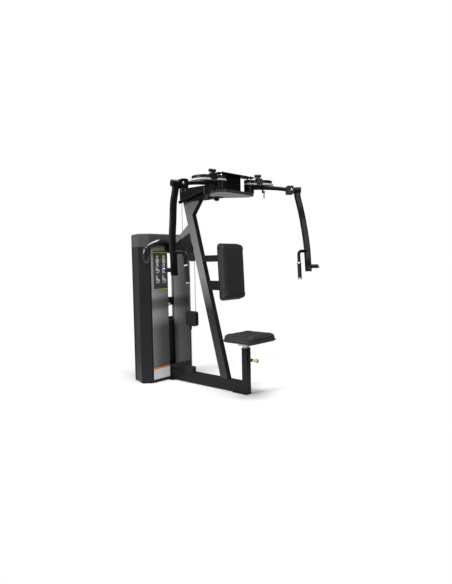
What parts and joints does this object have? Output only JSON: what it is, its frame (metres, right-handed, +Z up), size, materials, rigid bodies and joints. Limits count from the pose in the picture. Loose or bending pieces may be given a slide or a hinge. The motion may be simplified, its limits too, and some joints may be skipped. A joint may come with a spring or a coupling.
{
  "type": "fly and rear-shoulder exercise machine",
  "caption": "Seated chest-fly machine: weight tower, leaning upright, overhead head, two hanging swing arms with grips, padded seat and back.",
  "frame": {"origin": "on the floor, in the plane of symmetry and in the plane of the weight tower's front", "axes": "+Z up, -Y the way the seated user faces, +X the user's left"},
  "size_m": [1.3667, 1.634, 1.947],
  "materials": {
    "frame_paint": "satin metallic grey powder coat",
    "dark_paint": "satin black powder coat",
    "rubber": "matte black rubber",
    "black_plastic": "matte black moulding",
    "yellow_plastic": "glossy yellow knob",
    "chrome": "polished chrome",
    "upholstery": "black vinyl",
    "tower_paint": "satin charcoal powder coat",
    "cap_plastic": "textured black moulding",
    "placard": "printed plate, left blank",
    "gloss_black": "glossy black moulding",
    "stack_iron": "black painted iron",
    "cable": "grey plastic-coated wire rope",
    "bolt_steel": "zinc-plated steel",
    "cam_paint": "light grey powder coat"
  },
  "bodies": {
    "frame": {"accessory_holder": "gloss_black", "anchor_cable": "cable", "back_pad": "upholstery", "back_pad_bracket": "dark_paint", "base_beam": "frame_paint", "block_cables": "cable", "boom": "dark_paint", "boom_bumpers": "rubber", "diagonal_bars": "dark_paint", "feet": "rubber", "frame_bolts": "bolt_steel", "front_panels": "tower_paint", "front_plates": "placard", "guide_rods": "chrome", "head_housing": "dark_paint", "head_pan": "dark_paint", "kick_panel": "tower_paint", "left_tower_column": "tower_paint", "lift_cable": "cable", "link_plate": "dark_paint", "main_upright": "frame_paint", "pivot_shafts": "chrome", "pulley_covers": "black_plastic", "rear_brace": "frame_paint", "right_tower_column": "tower_paint", "seat_post": "frame_paint", "seat_post_trim": "black_plastic", "stack_base": "dark_paint", "stack_bumpers": "rubber", "stack_cable": "cable", "top_crossmember": "dark_paint", "tower_bracket": "dark_paint", "tower_cap": "cap_plastic", "tower_rear_cover": "tower_paint", "weight_plates": "stack_iron"},
    "stack_head": {"head_plate": "stack_iron", "lifted_plates": "stack_iron"},
    "selector_pin": {"selector_pin": "yellow_plastic"},
    "tower_top_pulley": {"top_pulley": "black_plastic"},
    "brace_pulley": {"brace_pulley": "black_plastic"},
    "floating_block": {"floating_block": "dark_paint"},
    "seat": {"seat_carriage": "chrome", "seat_pad": "upholstery"},
    "seat_pin": {"seat_pull_pin": "yellow_plastic"},
    "left_cam": {"left_index_plate": "cam_paint", "left_cam": "dark_paint"},
    "left_pull_pin": {"left_pull_pin": "black_plastic"},
    "left_arm": {"left_arm": "dark_paint"},
    "left_release_lever": {"left_release_lever": "chrome"},
    "left_hanging_arm": {"left_swing_arm": "dark_paint", "left_grips": "rubber", "left_grip_rings": "chrome"},
    "right_cam": {"right_index_plate": "cam_paint", "right_cam": "dark_paint"},
    "right_pull_pin": {"right_pull_pin": "black_plastic"},
    "right_arm": {"right_arm": "dark_paint"},
    "right_release_lever": {"right_release_lever": "chrome"},
    "right_hanging_arm": {"right_swing_arm": "dark_paint", "right_grips": "rubber", "right_grip_rings": "chrome"}
  },
  "joints": [
    {"name": "stack_lift", "type": "slide", "parent": "frame", "child": "stack_head", "axis": [0, 0, 1], "range_m": [-0.154, 0.05], "deforming": ["stack_cable"]},
    {"name": "selector_pin_pull", "type": "slide", "parent": "stack_head", "child": "selector_pin", "axis": [0, -1, 0], "range_m": [0, 0.07]},
    {"name": "block_travel", "type": "slide", "parent": "frame", "child": "floating_block", "axis": [0, 0, 1], "range_m": [-0.154, 0.05], "deforming": ["block_cables", "anchor_cable"]},
    {"name": "top_pulley_spin", "type": "hinge", "parent": "frame", "child": "tower_top_pulley", "pos_m": [0, 0.0775, 1.31], "axis": [1, 0, 0], "range_deg": [-226, 74]},
    {"name": "brace_pulley_spin", "type": "hinge", "parent": "frame", "child": "brace_pulley", "pos_m": [0, -0.148, 1.39], "axis": [1, 0, 0], "range_deg": [-74, 226]},
    {"name": "seat_height", "type": "slide", "parent": "frame", "child": "seat", "axis": [0, 0, 1], "range_m": [-0.02, 0.12]},
    {"name": "seat_pin_pull", "type": "slide", "parent": "frame", "child": "seat_pin", "axis": [0, -1, 0], "range_m": [0, 0.012], "stiffness_N_per_m": 800},
    {"name": "left_cam_turn", "type": "hinge", "parent": "frame", "child": "left_cam", "pos_m": [0.1867, -0.8753, 1.873], "axis": [0, 0, -1], "range_deg": [-64, 20]},
    {"name": "left_start_position", "type": "hinge", "parent": "left_cam", "child": "left_arm", "pos_m": [0.1867, -0.8753, 1.8], "axis": [0, 0, -1], "range_deg": [0, 20]},
    {"name": "left_pin_pull", "type": "slide", "parent": "left_cam", "child": "left_pull_pin", "axis": [0, 0, 1], "range_m": [0, 0.018], "stiffness_N_per_m": 600},
    {"name": "left_lever_swing", "type": "hinge", "parent": "left_arm", "child": "left_release_lever", "pos_m": [0.31441, -0.94639, 1.795], "axis": [-0.6972, 0.7169, 0], "range_deg": [0, 18], "stiffness_Nm_per_rad": 0.5},
    {"name": "left_elbow", "type": "hinge", "parent": "left_arm", "child": "left_hanging_arm", "pos_m": [0.45232, -1.14844, 1.802], "axis": [0.7169, 0.6972, 0], "range_deg": [-12, 12]},
    {"name": "right_cam_turn", "type": "hinge", "parent": "frame", "child": "right_cam", "pos_m": [-0.1867, -0.8753, 1.873], "axis": [0, 0, 1], "range_deg": [-5, 79]},
    {"name": "right_start_position", "type": "hinge", "parent": "right_cam", "child": "right_arm", "pos_m": [-0.1867, -0.8753, 1.8], "axis": [0, 0, 1], "range_deg": [0, 20]},
    {"name": "right_pin_pull", "type": "slide", "parent": "right_cam", "child": "right_pull_pin", "axis": [0, 0, 1], "range_m": [0, 0.018], "stiffness_N_per_m": 600},
    {"name": "right_lever_swing", "type": "hinge", "parent": "right_arm", "child": "right_release_lever", "pos_m": [-0.31159, -0.79937, 1.795], "axis": [-0.9677, 0.2521, 0], "range_deg": [0, 18], "stiffness_Nm_per_rad": 0.5},
    {"name": "right_elbow", "type": "hinge", "parent": "right_arm", "child": "right_hanging_arm", "pos_m": [-0.5554, -0.77926, 1.802], "axis": [-0.2521, -0.9677, 0], "range_deg": [-12, 12]}
  ],
  "couplings": [
    {"joint": "stack_lift", "follows": "left_cam_turn", "m_per_rad": 0.136},
    {"joint": "block_travel", "follows": "left_cam_turn", "m_per_rad": 0.136},
    {"joint": "top_pulley_spin", "follows": "left_cam_turn", "ratio": 3.4},
    {"joint": "brace_pulley_spin", "follows": "left_cam_turn", "ratio": -3.4},
    {"joint": "left_lever_swing", "follows": "left_pin_pull", "rad_per_m": 17.453},
    {"joint": "right_lever_swing", "follows": "right_pin_pull", "rad_per_m": 17.453}
  ]
}
